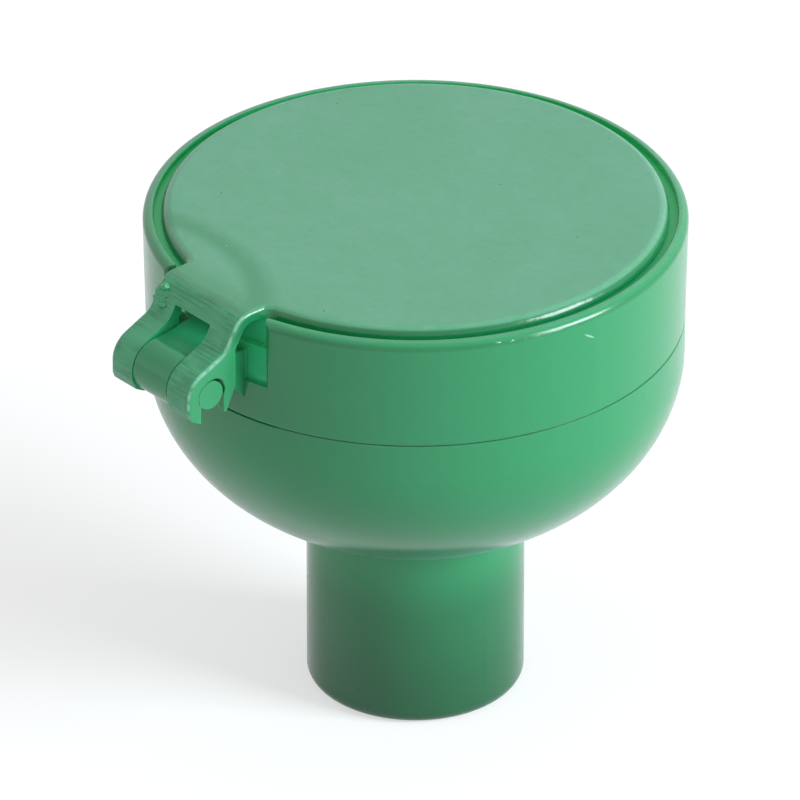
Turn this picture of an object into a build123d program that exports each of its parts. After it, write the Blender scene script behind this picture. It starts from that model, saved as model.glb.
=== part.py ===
"""Emergency eyewash spray head with a flip-top dust cover.

Millimetres, +Z up. The origin is the centre of the stem's bottom face and the
stem's axis is Z. Water enters at the stem and leaves upward through the spray
plate. The dust cover snaps on a hinge at the -Y side, with its pin along X.
"""
from build123d import *

import os
from math import acos, atan2, cos, degrees, sin, sqrt, tan

os.makedirs("parts", exist_ok=True)

# Housing, outside
parting_height = 52.0        # where the bowl and the cap meet
cap_height = 14.5            # parting line to the rim
bowl_radius = 33.5           # at the parting line
rim_draft = 0.3              # the rim is wider by the mould's draft
bowl_band = 4.5              # straight wall under the parting line
bowl_depth = 24.4            # drop of the bowl's quarter ellipse
stem_radius = 13.65
stem_edge_round = 1.6
stem_root_round = 1.0        # where the stem runs into the bowl
rim_edge_round = 1.1
parting_chamfer = 0.15       # fine groove round the parting line

# Housing, inside
bowl_wall = 3.4
cap_wall = 1.7               # outside the bowl's spigot
lap_clearance = 0.1          # between the spigot and the cap
rim_wall = 1.3
rim_inner_chamfer = 0.1
seat_width = 1.6             # ledge inside the rim, under the cover's edge
seat_drop_in_rim = 0.7
cup_draft = 0.3              # the cap's cup narrows towards its floor
cup_depth = 4.6              # rim to the top of the spray plate
flange_ledge = 2.0           # width of the cap's inner flange inside the cup
flange_thickness = 1.8

# Inlet: 1/2-14 female pipe thread, left plain at its tapping bore
inlet_bore_radius = 9.3
inlet_mouth_chamfer = 0.5
throat_radius = 6.5
throat_length = 4.0
seat_drop = 32.5             # parting line down to the flow control's seat
pocket_radius = 10.2         # round the flow control

# Filter stack, from the cap's flange down to the bowl's ribs
screen_thickness = 0.5
foam_thickness = 5.7
foam_clearance = 0.3         # foam and screen in the bowl
support_thickness = 2.2
support_clearance = 0.2
support_bar = 1.4            # width of the grid's rings and spokes
support_hub_radius = 3.2
support_rings = 2            # between the hub and the outer ring
support_spokes = 8
support_rib_count = 8
support_rib_width = 1.6
support_rib_reach = 3.6      # inwards from the bowl's wall
seal_height = 1.4            # squeezed height of the housing seal
seal_cord = 1.7              # its free cord diameter

# Spray plate
plate_clearance = 0.2
plate_thickness = 1.7
spray_hole_radius = 0.9
spray_ring_margin = 3.8      # outermost ring of holes, in from the flange's bore
spray_ring_holes = (6, 10, 16, 20)

# Flow control cartridge
cartridge_clearance = 0.15
cartridge_height = 7.0
cartridge_floor = 1.6
cartridge_wall = 2.35
cartridge_orifice = 4.0
cartridge_groove_height = 2.4    # from the cartridge's underside to its groove
cartridge_groove_width = 2.1
cartridge_groove_depth = 1.1
cartridge_seal_cord = 1.6
flow_ring_clearance = 0.1
flow_ring_orifice = 3.0
flow_ring_thickness = 3.0
flow_ring_chamfer = 0.8
flow_cap_clearance = 0.1
flow_cap_thickness = 1.5
flow_cap_hole_radius = 1.5
flow_cap_hole_inset = 2.4    # hole centres, in from the plug's side
flow_cap_holes = 6
flow_cap_cone_radius = 2.8
flow_cap_cone_height = 1.6

# Dust cover
cover_gap = 1.05             # round the disc, inside the rim
cover_thickness = 1.4
cover_lift = 0.1             # underside above its seat in the rim
cover_edge_round = 1.3       # round the disc
cover_skirt_inset = 3.05     # from the disc's edge to the skirt's outside
cover_skirt_wall = 1.4
cover_skirt_gap = 0.4        # over the spray plate
neck_edge_round = 0.6        # along the neck and over the arms
neck_corner_round = 2.0      # in plan, where the neck leaves the disc
neck_overhang = 0.8          # past the rim, to where the neck turns down
neck_crest_round = 3.0
neck_slope_run = 2.5         # outward run of the neck's slope
neck_slope_drop = 4.3
neck_foot_round = 2.5
window_offset = 1.4          # from the neck's crest to the window between the arms

# Hinge
hinge_standoff = 4.5         # from the boss to the pin's axis
hinge_drop = 8.45            # from the rim to the pin's axis
pin_radius = 1.87
pin_end_chamfer = 0.15
hinge_width = 14.8           # over both arms
barrel_width = 6.2           # between the arms
barrel_radius = 3.55
arm_side_clearance = 0.2     # between the barrel's end and the arm
arm_pin_clearance = 0.08
arm_radius = 3.6             # round the pin
arm_relief = 0.35            # the slot's play behind the pin
arm_boss_gap = 0.55          # between the arm's back edge and the boss
arm_front_leg_drop = 3.45    # leg tips below the pin's axis
arm_back_leg_drop = 3.1
snap_overlap = 0.27          # of the front leg under the pin
slot_back_play = 0.28        # of the slot's mouth behind the pin
leg_straight = 1.3           # front leg's straight edge, below the pin's axis
leg_tip_width = 1.35         # front leg's slanted end
leg_tip_rise = 0.75          # rise of that end towards the front
back_tip_width = 0.35

# Hinge seat on the cap
notch_clearance = 1.3        # beside the neck
notch_depth = 4.2            # of the notch, from the rim
notch_wall = 1.1             # what the notch leaves of the wall behind it
notch_corner_round = 1.2     # upright corners of the notch
recess_depth = 0.5           # flat in the wall, beside the boss
recess_drop = 9.2            # from the rim to the flat's bottom
boss_half_width = 6.1
boss_standoff = 1.15         # past the rim
boss_drop = 5.0              # from the rim to the boss's top
boss_height = 4.7
lug_root_rise = 2.55         # where the lug leaves the boss, above the pin's axis
lug_root_drop = 4.15         # and below it
pick_tolerance = 0.01        # when edges are picked by their height
pick_reach = 0.3             # from an edge to the side that is asked about

# Radii worked out from the bowl's
rim_radius = bowl_radius + rim_draft
rim_inner_radius = rim_radius - rim_wall
seat_radius = rim_inner_radius - seat_width
cup_radius = seat_radius - cup_draft
flange_bore_radius = cup_radius - flange_ledge
bowl_inner_radius = bowl_radius - bowl_wall
skirt_radius = bowl_radius - cap_wall
lap_radius = skirt_radius - lap_clearance
support_rib_radius = bowl_inner_radius - support_rib_reach
support_radius = bowl_inner_radius - support_clearance
foam_radius = bowl_inner_radius - foam_clearance
cover_radius = rim_inner_radius - cover_gap
cover_skirt_radius = cover_radius - cover_skirt_inset
cartridge_radius = pocket_radius - cartridge_clearance
cartridge_bore = cartridge_radius - cartridge_wall
cartridge_groove_radius = cartridge_radius - cartridge_groove_depth
plug_radius = cartridge_bore - flow_cap_clearance

# Heights, down from the rim and from the parting line
rim_height = parting_height + cap_height
cover_seat_height = rim_height - seat_drop_in_rim
cover_underside = cover_seat_height + cover_lift
cover_top = cover_underside + cover_thickness
plate_top_height = rim_height - cup_depth
cup_floor_height = plate_top_height - plate_thickness
flange_height = cup_floor_height - flange_thickness
screen_height = flange_height - screen_thickness
foam_height = screen_height - foam_thickness
support_height = foam_height - support_thickness
spigot_height = flange_height - seal_height
ellipse_height = parting_height - bowl_band
bowl_inner_depth = bowl_depth - bowl_wall
seat_height = parting_height - seat_drop
inlet_bore_length = seat_height - throat_length

# Places of the hinge, out from the stem's axis towards -Y
neck_crest_reach = rim_radius + neck_overhang
window_reach = neck_crest_reach + window_offset
boss_reach = rim_radius + boss_standoff
arm_back_reach = boss_reach + arm_boss_gap
hinge_y = -boss_reach - hinge_standoff
hinge_z = rim_height - hinge_drop
arm_inner_face = barrel_width / 2 + arm_side_clearance
arm_width = hinge_width / 2 - arm_inner_face


def ellipse_angle(radius, semi_axis):
    """Angle on a quarter ellipse, below its equator, where it has this radius."""
    return degrees(acos(radius / semi_axis))


def ellipse_point(radius, semi_axis, depth):
    """Point of the bowl's quarter ellipse that has this radius."""
    drop = depth * sqrt(1 - (radius / semi_axis) ** 2)
    return (radius, ellipse_height - drop)


def flattened_seal(name, ring_radius, middle_height, cord, squeezed_radial, squeezed_axial):
    """Seal ring whose round cord is flattened where it is squeezed."""
    with BuildPart() as seal:
        with BuildSketch(Plane.XZ):
            with Locations((ring_radius, middle_height)):
                Circle(cord / 2)
                Rectangle(squeezed_radial, squeezed_axial, mode=Mode.INTERSECT)
        revolve(axis=Axis.Z)
    seal.part.label = name
    return seal.part


# Bowl: a shell of revolution with the stem, the inlet and the ribs for the filter
with BuildPart() as bowl_body:
    with BuildSketch(Plane.XZ):
        with BuildLine():
            outer_start = ellipse_point(stem_radius, bowl_radius, bowl_depth)
            inner_start = ellipse_point(pocket_radius, bowl_inner_radius, bowl_inner_depth)
            EllipticalCenterArc(
                (0, ellipse_height), bowl_radius, bowl_depth,
                start_angle=-ellipse_angle(stem_radius, bowl_radius),
                arc_size=ellipse_angle(stem_radius, bowl_radius),
            )
            Polyline(
                (bowl_radius, ellipse_height),
                (bowl_radius, parting_height),
                (lap_radius, parting_height),
                (lap_radius, spigot_height),
                (bowl_inner_radius, spigot_height),
                (bowl_inner_radius, ellipse_height),
            )
            EllipticalCenterArc(
                (0, ellipse_height), bowl_inner_radius, bowl_inner_depth,
                start_angle=-ellipse_angle(pocket_radius, bowl_inner_radius),
                arc_size=ellipse_angle(pocket_radius, bowl_inner_radius),
            )
            Polyline(
                inner_start,
                (pocket_radius, seat_height),
                (throat_radius, seat_height),
                (throat_radius, inlet_bore_length),
                (inlet_bore_radius, inlet_bore_length),
                (inlet_bore_radius, 0),
                (stem_radius, 0),
                outer_start,
            )
        make_face()
    revolve(axis=Axis.Z)
    rims = bowl_body.edges().filter_by(GeomType.CIRCLE)
    stem_end = rims.group_by(Axis.Z)[0].sort_by(SortBy.RADIUS)
    chamfer(stem_end[0], inlet_mouth_chamfer)
    rims = bowl_body.edges().filter_by(GeomType.CIRCLE)
    fillet(rims.group_by(Axis.Z)[0].sort_by(SortBy.RADIUS)[-1], stem_edge_round)
    root = bowl_body.edges().filter_by(GeomType.CIRCLE).filter_by_position(
        Axis.Z, outer_start[1] - pick_tolerance, outer_start[1] + pick_tolerance
    )
    fillet(root.sort_by(SortBy.RADIUS)[-1], stem_root_round)
    shoulder = bowl_body.edges().filter_by(GeomType.CIRCLE).filter_by_position(
        Axis.Z, parting_height - pick_tolerance, parting_height + pick_tolerance
    )
    chamfer(shoulder.sort_by(SortBy.RADIUS)[-1], parting_chamfer)
    with BuildSketch(Plane.XZ) as rib_profile:
        rib_outer = (bowl_inner_radius + lap_radius) / 2
        rib_depth = bowl_inner_depth + rib_outer - bowl_inner_radius
        rib_foot = ellipse_point(support_rib_radius, rib_outer, rib_depth)
        with BuildLine():
            EllipticalCenterArc(
                (0, ellipse_height), rib_outer, rib_depth,
                start_angle=-ellipse_angle(support_rib_radius, rib_outer),
                arc_size=ellipse_angle(support_rib_radius, rib_outer),
            )
            Polyline(
                (rib_outer, ellipse_height),
                (rib_outer, support_height),
                (support_rib_radius, support_height),
                rib_foot,
            )
        make_face()
    rib = extrude(rib_profile.sketch, amount=support_rib_width / 2, both=True, mode=Mode.PRIVATE)
    with PolarLocations(0, support_rib_count):
        add(rib)
bowl_body.part.label = "bowl_body"

# Cap: rim and cup over the bowl, with the seat of the hinge on its outside
with BuildPart() as spray_cap:
    with BuildSketch(Plane.XZ):
        with BuildLine():
            Polyline(
                (bowl_radius, parting_height),
                (rim_radius, rim_height),
                (rim_inner_radius, rim_height),
                (rim_inner_radius, cover_seat_height),
                (seat_radius, cover_seat_height),
                (cup_radius, cup_floor_height),
                (flange_bore_radius, cup_floor_height),
                (flange_bore_radius, flange_height),
                (skirt_radius, flange_height),
                (skirt_radius, parting_height),
                close=True,
            )
        make_face()
    revolve(axis=Axis.Z)
    rim_edges = spray_cap.edges().filter_by(GeomType.CIRCLE).group_by(Axis.Z)[-1]
    fillet(rim_edges.sort_by(SortBy.RADIUS)[-1], rim_edge_round)
    rim_edges = spray_cap.edges().filter_by(GeomType.CIRCLE).group_by(Axis.Z)[-1]
    chamfer(rim_edges.sort_by(SortBy.RADIUS)[0], rim_inner_chamfer)
    foot_edges = spray_cap.edges().filter_by(GeomType.CIRCLE).group_by(Axis.Z)[0]
    chamfer(foot_edges.sort_by(SortBy.RADIUS)[-1], parting_chamfer)
    # notch that lets the cover's neck out over the rim, and the flat under it
    notch_half_width = hinge_width / 2 + notch_clearance
    with BuildSketch(Plane.XY.offset(rim_height), mode=Mode.PRIVATE) as wall_left:
        Circle(rim_radius)
        with Locations((0, -rim_radius)):
            Rectangle(2 * notch_half_width, 2 * rim_radius, mode=Mode.SUBTRACT)
        Circle(seat_radius + notch_wall)
        corners = wall_left.vertices().filter_by(
            lambda corner: Vector(corner.X, corner.Y).length > rim_radius - pick_tolerance
        )
        fillet(corners.sort_by(Axis.Y)[:2], notch_corner_round)
    with BuildSketch(Plane.XY.offset(rim_height), mode=Mode.PRIVATE) as notch:
        with Locations((0, -rim_radius)):
            Rectangle(2 * notch_half_width + 4 * notch_corner_round, 2 * rim_radius)
        add(wall_left.sketch, mode=Mode.SUBTRACT)
    extrude(notch.sketch, amount=-notch_depth, mode=Mode.SUBTRACT)
    with BuildSketch(Plane.XY.offset(rim_height)):
        add(notch.sketch)
        Circle(bowl_radius - recess_depth, mode=Mode.SUBTRACT)
    extrude(amount=-recess_drop, mode=Mode.SUBTRACT)
    # boss that carries the lug
    wall_y = -(skirt_radius + bowl_radius) / 2
    boss_top = rim_height - boss_drop
    boss_bottom = boss_top - boss_height
    with BuildSketch(Plane.YZ):
        with BuildLine():
            Polyline(
                (wall_y, boss_top),
                (-boss_reach, boss_top),
                (-boss_reach, boss_bottom),
                (wall_y, boss_bottom - (boss_reach + wall_y)),
                close=True,
            )
        make_face()
    extrude(amount=boss_half_width, both=True)
    # lug and barrel in one outline, tangent to each other
    with BuildSketch(Plane.YZ):
        with Locations((hinge_y, hinge_z)):
            Circle(barrel_radius)
        with BuildLine():
            Line((wall_y, hinge_z - lug_root_drop), (wall_y, hinge_z + lug_root_rise))
        make_hull()
    extrude(amount=barrel_width / 2, both=True)
    with BuildSketch(Plane.YZ):
        with Locations((hinge_y, hinge_z)):
            Circle(pin_radius)
    extrude(amount=hinge_width / 2, both=True)
    pin_ends = spray_cap.edges().filter_by(GeomType.CIRCLE).group_by(Axis.X)
    chamfer([pin_ends[0][0], pin_ends[-1][0]], pin_end_chamfer)
spray_cap.part.label = "spray_cap"

# Dust cover: disc, skirt, neck and the two snap arms in one moulding
neck_root_y = -cover_skirt_radius
neck_crest = (-neck_crest_reach, cover_top)
neck_foot = (-neck_crest_reach - neck_slope_run, cover_top - neck_slope_drop)
neck_slope = neck_slope_drop / neck_slope_run
neck_flat = neck_crest_reach - neck_crest_round * tan(atan2(neck_slope_drop, neck_slope_run) / 2)


def slope_point(reach):
    """Point on the neck's slope at this distance from the stem's axis."""
    return (-reach, cover_top - (reach - neck_crest_reach) * neck_slope)


def neck_strip(reach):
    """Side view of the neck: the disc's thickness, turned down as far as this reach."""
    with BuildSketch(Plane.YZ) as strip:
        with BuildLine():
            FilletPolyline(
                (neck_root_y, cover_top), neck_crest, slope_point(reach),
                radius=neck_crest_round,
            )
            offset(amount=cover_thickness, side=Side.LEFT)
        make_face()
    return strip.sketch


def arm_outline():
    """Side view of one arm, with its slot open below."""
    reach = sqrt((neck_foot[0] - hinge_y) ** 2 + (neck_foot[1] - hinge_z) ** 2)
    towards_foot = atan2(neck_foot[1] - hinge_z, neck_foot[0] - hinge_y)
    touch_angle = towards_foot + acos(arm_radius / reach)
    touch = (hinge_y + arm_radius * cos(touch_angle), hinge_z + arm_radius * sin(touch_angle))
    front_y = hinge_y - arm_radius
    front_leg_bottom = hinge_z - arm_front_leg_drop
    back_leg_bottom = hinge_z - arm_back_leg_drop
    slot_front = pin_radius - snap_overlap
    slot_back = pin_radius + slot_back_play
    slot_front_y = hinge_y - slot_front
    slot_back_y = hinge_y + slot_back
    with BuildSketch(Plane.YZ) as outline:
        with BuildLine():
            FilletPolyline(
                slope_point(arm_back_reach), neck_foot, touch,
                radius=neck_foot_round,
            )
            CenterArc(
                (hinge_y, hinge_z), arm_radius,
                start_angle=degrees(touch_angle), arc_size=180 - degrees(touch_angle),
            )
            Polyline(
                (front_y, hinge_z),
                (front_y, hinge_z - leg_straight),
                (slot_front_y - leg_tip_width, front_leg_bottom + leg_tip_rise),
                (slot_front_y, front_leg_bottom),
                (slot_back_y, back_leg_bottom),
                (slot_back_y + back_tip_width, back_leg_bottom),
                (-arm_back_reach, hinge_z),
                slope_point(arm_back_reach),
            )
        make_face()
        bearing_radius = pin_radius + arm_pin_clearance
        with Locations((hinge_y, hinge_z), (hinge_y + arm_relief, hinge_z + arm_relief / 2)):
            Circle(bearing_radius, mode=Mode.SUBTRACT)
        slot_depth = arm_front_leg_drop + pin_radius
        with Locations(((slot_front_y + slot_back_y) / 2, hinge_z - slot_depth / 2)):
            Rectangle(slot_front + slot_back, slot_depth, mode=Mode.SUBTRACT)
    return outline.sketch


slope_length = sqrt(1 + neck_slope ** 2)
neck_short = neck_strip(window_reach)
neck_long = neck_strip(arm_back_reach + cover_thickness * neck_slope / slope_length)
arm_side = arm_outline()

with BuildPart() as neck_and_arms:
    extrude(neck_short, amount=hinge_width / 2, both=True)
    arm = extrude(neck_long + arm_side, amount=arm_width, mode=Mode.PRIVATE)
    with Locations((arm_inner_face, 0, 0), (-hinge_width / 2, 0, 0)):
        add(arm)
    # rounded edges along the outsides of the neck and over the arms
    rounded = ShapeList()
    outward = Vector(0, -pick_reach, pick_reach)
    for side in (0, -1):
        face = neck_and_arms.faces().filter_by(Axis.X).sort_by(Axis.X)[side]
        over_arm = face.edges().filter_by(lambda edge: (edge @ 0.5).Z > hinge_z)
        over_arm = over_arm.filter_by(Axis.Z, reverse=True)
        rounded += over_arm.filter_by(lambda edge: not face.is_inside(edge @ 0.5 + outward))
    fillet(rounded, neck_edge_round)

with BuildPart() as dust_cover:
    with BuildSketch(Plane.XY.offset(cover_underside)) as plan:
        Circle(cover_radius)
        with Locations((0, -neck_flat / 2)):
            Rectangle(hinge_width, neck_flat)
        corners = plan.vertices().filter_by(lambda corner: corner.Y > pick_tolerance - neck_flat)
        fillet(corners.sort_by(Axis.Y)[:2], neck_corner_round)
    extrude(amount=cover_thickness)
    rounded = dust_cover.edges().group_by(Axis.Z)[-1].filter_by(Axis.X, reverse=True)
    fillet(rounded, cover_edge_round)
    with BuildSketch(Plane.XY.offset(cover_underside)):
        Circle(cover_skirt_radius)
        Circle(cover_skirt_radius - cover_skirt_wall, mode=Mode.SUBTRACT)
    extrude(amount=plate_top_height + cover_skirt_gap - cover_underside)
    add(neck_and_arms.part)
dust_cover.part.label = "dust_cover"

# Filter stack
with BuildPart() as filter_support:
    spoke_reach = support_radius - support_bar / 2
    ring_step = (support_radius - support_bar - support_hub_radius) / (support_rings + 1)
    with BuildSketch(Plane.XY.offset(support_height)):
        Circle(support_radius)
        Circle(support_radius - support_bar, mode=Mode.SUBTRACT)
        for ring in range(1, support_rings + 1):
            ring_radius = support_hub_radius + ring * ring_step
            Circle(ring_radius + support_bar / 2)
            Circle(ring_radius - support_bar / 2, mode=Mode.SUBTRACT)
        Circle(support_hub_radius)
        with PolarLocations(spoke_reach / 2, support_spokes):
            Rectangle(spoke_reach, support_bar)
    extrude(amount=support_thickness)
filter_support.part.label = "filter_support"

with BuildPart() as foam_filter:
    with BuildSketch(Plane.XY.offset(foam_height)):
        Circle(foam_radius)
    extrude(amount=foam_thickness)
foam_filter.part.label = "foam_filter"

with BuildPart() as filter_screen:
    with BuildSketch(Plane.XY.offset(screen_height)):
        Circle(foam_radius)
    extrude(amount=screen_thickness)
filter_screen.part.label = "filter_screen"

# Spray plate: a disc in the cap's cup, drilled in rings round a centre hole
with BuildPart() as spray_plate:
    spray_pitch = (flange_bore_radius - spray_ring_margin) / len(spray_ring_holes)
    with BuildSketch(Plane.XY.offset(cup_floor_height)):
        Circle(cup_radius - plate_clearance)
        Circle(spray_hole_radius, mode=Mode.SUBTRACT)
        for ring, holes in enumerate(spray_ring_holes, start=1):
            with PolarLocations(ring * spray_pitch, holes):
                Circle(spray_hole_radius, mode=Mode.SUBTRACT)
    extrude(amount=plate_thickness)
spray_plate.part.label = "spray_plate"

# Flow control cartridge, from its cup up to its cap
groove_bottom = seat_height + cartridge_groove_height
with BuildPart() as flow_control_body:
    with BuildSketch(Plane.XZ):
        with BuildLine():
            Polyline(
                (cartridge_orifice, seat_height),
                (cartridge_radius, seat_height),
                (cartridge_radius, groove_bottom),
                (cartridge_groove_radius, groove_bottom),
                (cartridge_groove_radius, groove_bottom + cartridge_groove_width),
                (cartridge_radius, groove_bottom + cartridge_groove_width),
                (cartridge_radius, seat_height + cartridge_height),
                (cartridge_bore, seat_height + cartridge_height),
                (cartridge_bore, seat_height + cartridge_floor),
                (cartridge_orifice, seat_height + cartridge_floor),
                close=True,
            )
        make_face()
    revolve(axis=Axis.Z)
flow_control_body.part.label = "flow_control_body"

flow_ring_height = seat_height + cartridge_floor
with BuildPart() as flow_control_ring:
    with BuildSketch(Plane.XY.offset(flow_ring_height)):
        Circle(cartridge_bore - flow_ring_clearance)
        Circle(flow_ring_orifice, mode=Mode.SUBTRACT)
    extrude(amount=flow_ring_thickness)
    mouth = flow_control_ring.edges().group_by(Axis.Z)[-1].sort_by(SortBy.RADIUS)[0]
    chamfer(mouth, flow_ring_chamfer)
flow_control_ring.part.label = "flow_control_ring"

plug_height = flow_ring_height + flow_ring_thickness
cartridge_top = seat_height + cartridge_height
with BuildPart() as flow_control_cap:
    with BuildSketch(Plane.XZ):
        with BuildLine():
            Polyline(
                (0, plug_height),
                (plug_radius, plug_height),
                (plug_radius, cartridge_top),
                (cartridge_radius, cartridge_top),
                (cartridge_radius, cartridge_top + flow_cap_thickness),
                (flow_cap_cone_radius, cartridge_top + flow_cap_thickness),
                (0, cartridge_top + flow_cap_thickness + flow_cap_cone_height),
                close=True,
            )
        make_face()
    revolve(axis=Axis.Z)
    with BuildSketch(Plane.XY.offset(plug_height)):
        with PolarLocations(plug_radius - flow_cap_hole_inset, flow_cap_holes):
            Circle(flow_cap_hole_radius)
    extrude(amount=cartridge_top + flow_cap_thickness - plug_height, mode=Mode.SUBTRACT)
flow_control_cap.part.label = "flow_control_cap"

# Seals, each with its cord flattened where it is squeezed
housing_seal = flattened_seal(
    "housing_o_ring", (bowl_inner_radius + lap_radius) / 2, spigot_height + seal_height / 2,
    seal_cord, seal_cord, seal_height,
)
cartridge_seal = flattened_seal(
    "flow_control_o_ring", (cartridge_groove_radius + pocket_radius) / 2,
    groove_bottom + cartridge_groove_width / 2,
    cartridge_seal_cord, pocket_radius - cartridge_groove_radius, cartridge_seal_cord,
)

pieces = [
    bowl_body.part, spray_cap.part, spray_plate.part, dust_cover.part,
    filter_support.part, foam_filter.part, filter_screen.part,
    flow_control_body.part, flow_control_ring.part, flow_control_cap.part,
    housing_seal, cartridge_seal,
]
for piece in pieces:
    export_step(piece, "parts/" + piece.label + ".step")
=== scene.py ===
"""Eyewash spray head with a flip-top dust cover: finishes, fine details, light and camera.

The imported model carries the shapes. This script gives every node its finish and adds
what is too fine for it: the inlet's thread, the foam's cells, the screen's wires and the
marks that moulding leaves. Everything is in metres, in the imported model's frame.
"""
from math import cos, pi, radians, sin

import bpy
from mathutils import Matrix, Vector


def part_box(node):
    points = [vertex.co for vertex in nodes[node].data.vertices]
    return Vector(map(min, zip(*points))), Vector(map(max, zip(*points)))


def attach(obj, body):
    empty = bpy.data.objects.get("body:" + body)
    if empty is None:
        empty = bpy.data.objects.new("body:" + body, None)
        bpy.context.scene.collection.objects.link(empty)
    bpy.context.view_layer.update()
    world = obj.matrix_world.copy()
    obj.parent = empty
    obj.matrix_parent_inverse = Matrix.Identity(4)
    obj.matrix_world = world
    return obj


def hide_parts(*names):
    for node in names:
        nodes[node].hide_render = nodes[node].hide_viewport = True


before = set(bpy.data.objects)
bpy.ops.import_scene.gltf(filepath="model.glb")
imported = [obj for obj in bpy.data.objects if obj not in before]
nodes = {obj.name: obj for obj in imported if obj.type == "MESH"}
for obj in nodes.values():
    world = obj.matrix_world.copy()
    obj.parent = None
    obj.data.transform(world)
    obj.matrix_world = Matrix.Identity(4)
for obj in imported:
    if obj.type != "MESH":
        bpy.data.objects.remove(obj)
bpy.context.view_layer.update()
bpy.ops.object.select_all(action="DESELECT")

MM = 0.001

# Places on the head

cap_low, cap_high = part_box("spray_cap")
cover_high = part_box("dust_cover")[1]
PARTING_HEIGHT = cap_low.z        # where the cap meets the bowl
RIM_HEIGHT = cap_high.z
RIM_INNER = 32.5 * MM             # radius inside the rim
BOWL_RADIUS = 33.5 * MM
COVER_TOP = cover_high.z
COVER_RADIUS = cover_high.x
HINGE_HEIGHT = 58.05 * MM
HINGE_Y = -39.45 * MM
BARREL_RADIUS = 3.55 * MM
WINDOW_HALF_WIDTH = 3.1 * MM      # between the cover's arms
NECK_HALF_WIDTH = 7.2 * MM
NECK_START = -COVER_RADIUS        # y where the neck leaves the cover's disc
NOTCH_FLOOR = 62.3 * MM           # where the neck passes over the cap's rim
NOTCH_BACK = -32.0 * MM           # y of the notch's back
RECESS_RADIUS = 33.0 * MM         # shallow recess in the cap's wall behind the hinge
RECESS_FLOOR = 57.3 * MM
RECESS_HALF_WIDTH = 10 * MM
STEM_TOP = 24 * MM
BORE_RADIUS = 9.3 * MM
THREAD_PITCH = 1.814 * MM

# Camera

VIEW_AZIMUTH = radians(49.2)
VIEW_ELEVATION = radians(30.19)
VIEW_DISTANCE = 1.810             # from the parting line's centre
VIEW_LENS = 656.1
VIEW_OFFSET_RIGHT = -1.929 * MM
VIEW_OFFSET_UP = -11.116 * MM


def towards(azimuth, elevation):
    """Unit vector from the head towards this azimuth (0 is -Y) and elevation."""
    return Vector((
        sin(azimuth) * cos(elevation),
        -cos(azimuth) * cos(elevation),
        sin(elevation),
    ))


def facing(back):
    """Rotation whose local +Z is back and whose local +X is level."""
    right = Vector((0, 0, 1)).cross(back).normalized()
    return Matrix((right, back.cross(right), back)).transposed()


def set_camera():
    """Long lens from the front right, above the head."""
    camera_data = bpy.data.cameras.new("camera")
    camera_data.lens = VIEW_LENS
    camera_data.clip_start = 0.05
    camera = bpy.data.objects.new("camera", camera_data)
    bpy.context.scene.collection.objects.link(camera)
    back = towards(VIEW_AZIMUTH, VIEW_ELEVATION)
    turn = facing(back)
    aim = Vector((0, 0, PARTING_HEIGHT))
    aim += turn.col[0] * VIEW_OFFSET_RIGHT + turn.col[1] * VIEW_OFFSET_UP
    camera.matrix_world = Matrix.Translation(aim + back * VIEW_DISTANCE) @ turn.to_4x4()
    bpy.context.scene.camera = camera


# Shader helpers


def feed(tree, node, inputs):
    """Sets or links a node's inputs, named or numbered."""
    for name, value in inputs.items():
        if isinstance(value, bpy.types.NodeSocket):
            tree.links.new(value, node.inputs[name])
        else:
            node.inputs[name].default_value = value


def add_node(tree, kind, inputs, **settings):
    """Adds a shader node with these settings and inputs."""
    made = tree.nodes.new(kind)
    for name, value in settings.items():
        setattr(made, name, value)
    feed(tree, made, inputs)
    return made


def new_material(name, finish):
    """Material with a Principled BSDF whose uniform numbers are set on its own sockets."""
    material = bpy.data.materials.new(name)
    material.use_nodes = True
    shader = material.node_tree.nodes["Principled BSDF"]
    for socket, value in finish.items():
        shader.inputs[socket].default_value = value
    return material, material.node_tree, shader


def new_group(name, inputs, outputs):
    """Empty shader group with named sockets: {name: (socket type, value)} and {name: type}."""
    group = bpy.data.node_groups.new(name, "ShaderNodeTree")
    for socket, (kind, value) in inputs.items():
        made = group.interface.new_socket(socket, in_out="INPUT", socket_type=kind)
        if value is not None:
            made.default_value = value
    for socket, kind in outputs.items():
        group.interface.new_socket(socket, in_out="OUTPUT", socket_type=kind)
    enter = group.nodes.new("NodeGroupInput")
    leave = group.nodes.new("NodeGroupOutput")
    return group, enter.outputs, leave


def use_group(tree, group, inputs):
    """Places a shader group in a tree; returns its outputs."""
    placed = tree.nodes.new("ShaderNodeGroup")
    placed.node_tree = group
    feed(tree, placed, inputs)
    return placed.outputs


def maths(tree, operation, first, second=0.0, third=0.0):
    """Math node; returns its value."""
    made = add_node(
        tree, "ShaderNodeMath", {0: first, 1: second, 2: third}, operation=operation
    )
    return made.outputs[0]


def ramp(tree, value, low, high, out_low=0.0, out_high=1.0):
    """Value carried smoothly from low..high to out_low..out_high, and held outside."""
    made = add_node(
        tree, "ShaderNodeMapRange",
        {"Value": value, "From Min": low, "From Max": high,
         "To Min": out_low, "To Max": out_high},
        interpolation_type="SMOOTHSTEP",
    )
    return made.outputs["Result"]


def past(tree, value, edge, fade):
    """Mask that rises from 0 at the edge to 1 a fade beyond it; below it if fade is negative."""
    return ramp(tree, value, edge, edge + fade)


def all_of(tree, *masks):
    """Product of masks."""
    product = masks[0]
    for mask in masks[1:]:
        product = maths(tree, "MULTIPLY", product, mask)
    return product


def mix_value(tree, factor, first, second):
    """Mix node for plain values; returns the mixed value."""
    return add_node(tree, "ShaderNodeMix", {0: factor, 2: first, 3: second}).outputs[0]


def mix_colour(tree, factor, first, second):
    """Mix node for colours; returns the mixed colour."""
    made = add_node(
        tree, "ShaderNodeMix", {0: factor, 6: first, 7: second}, data_type="RGBA"
    )
    return made.outputs[2]


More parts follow.
